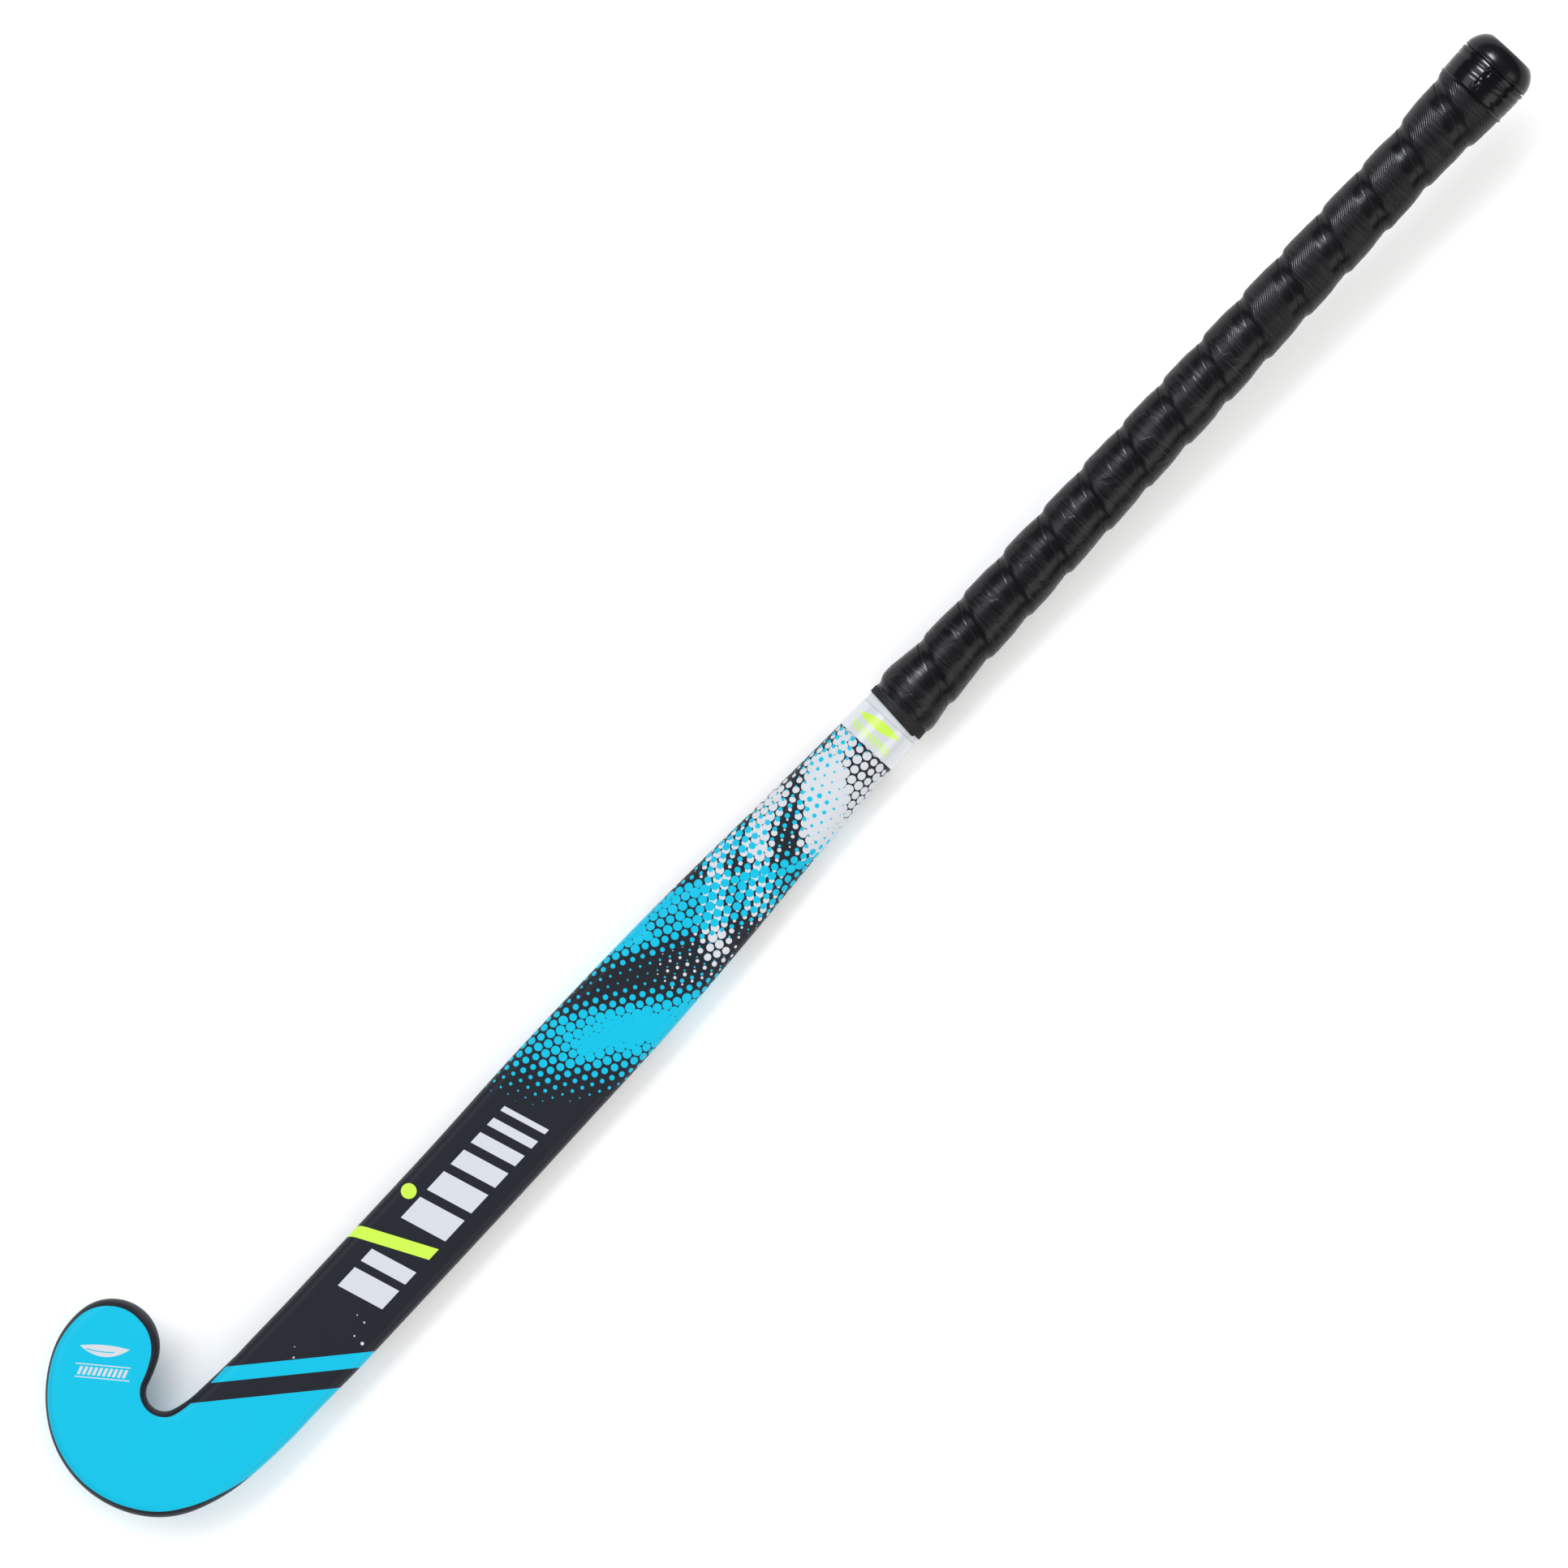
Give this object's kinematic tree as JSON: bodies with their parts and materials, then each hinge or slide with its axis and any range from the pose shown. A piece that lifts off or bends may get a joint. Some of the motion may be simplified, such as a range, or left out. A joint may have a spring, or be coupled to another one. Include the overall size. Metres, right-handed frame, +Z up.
{
  "type": "field hockey stick",
  "caption": "J-hooked field hockey stick with a flat face, rounded back, slight lengthwise bow, laminated wooden core, printed glass-fibre skin, spiral-wound grip and butt cap.",
  "frame": {"origin": "middle of the bounding box's underside, on the surface that the stick lies on", "axes": "+X from the hook towards the butt, +Y from the shaft towards the toe, +Z up, the way the flat playing face looks"},
  "size_m": [0.927, 0.112, 0.0672],
  "materials": {
    "mulberry": "fine straight-grained mulberry, sanded and glued",
    "cane": "split cane staves with open fibres, sanded",
    "damping_rubber": "matt black vulcanised strip",
    "binding_thread": "waxed thread laid side by side in glue",
    "printed_skin": "glossy lacquered glass-fibre, near-black with cyan, white and lime print",
    "collar_film": "thin glossy film, cool white",
    "finishing_band": "matt black stretch tape",
    "underlay": "foam cushion tape, sticky on both sides",
    "grip": "soft semi-gloss black polyurethane, embossed and ribbed",
    "closing_tape": "glossy black stretch vinyl",
    "cap_rubber": "smooth glossy black rubber"
  },
  "bodies": {
    "root": {"mulberry_lamination_1": "mulberry", "mulberry_lamination_2": "mulberry", "mulberry_lamination_3": "mulberry", "mulberry_lamination_4": "mulberry", "mulberry_lamination_5": "mulberry", "mulberry_lamination_6": "mulberry", "cane_stave_1": "cane", "cane_stave_2": "cane", "cane_stave_3": "cane", "cane_stave_4": "cane", "rubber_strip_1": "damping_rubber", "rubber_strip_2": "damping_rubber", "rubber_strip_3": "damping_rubber", "splice_binding": "binding_thread", "fibreglass_skin": "printed_skin", "collar_film": "collar_film", "finishing_band": "finishing_band", "grip_underlay": "underlay", "grip_tape": "grip", "closing_tape": "closing_tape", "butt_cap": "cap_rubber"}
  },
  "joints": []
}
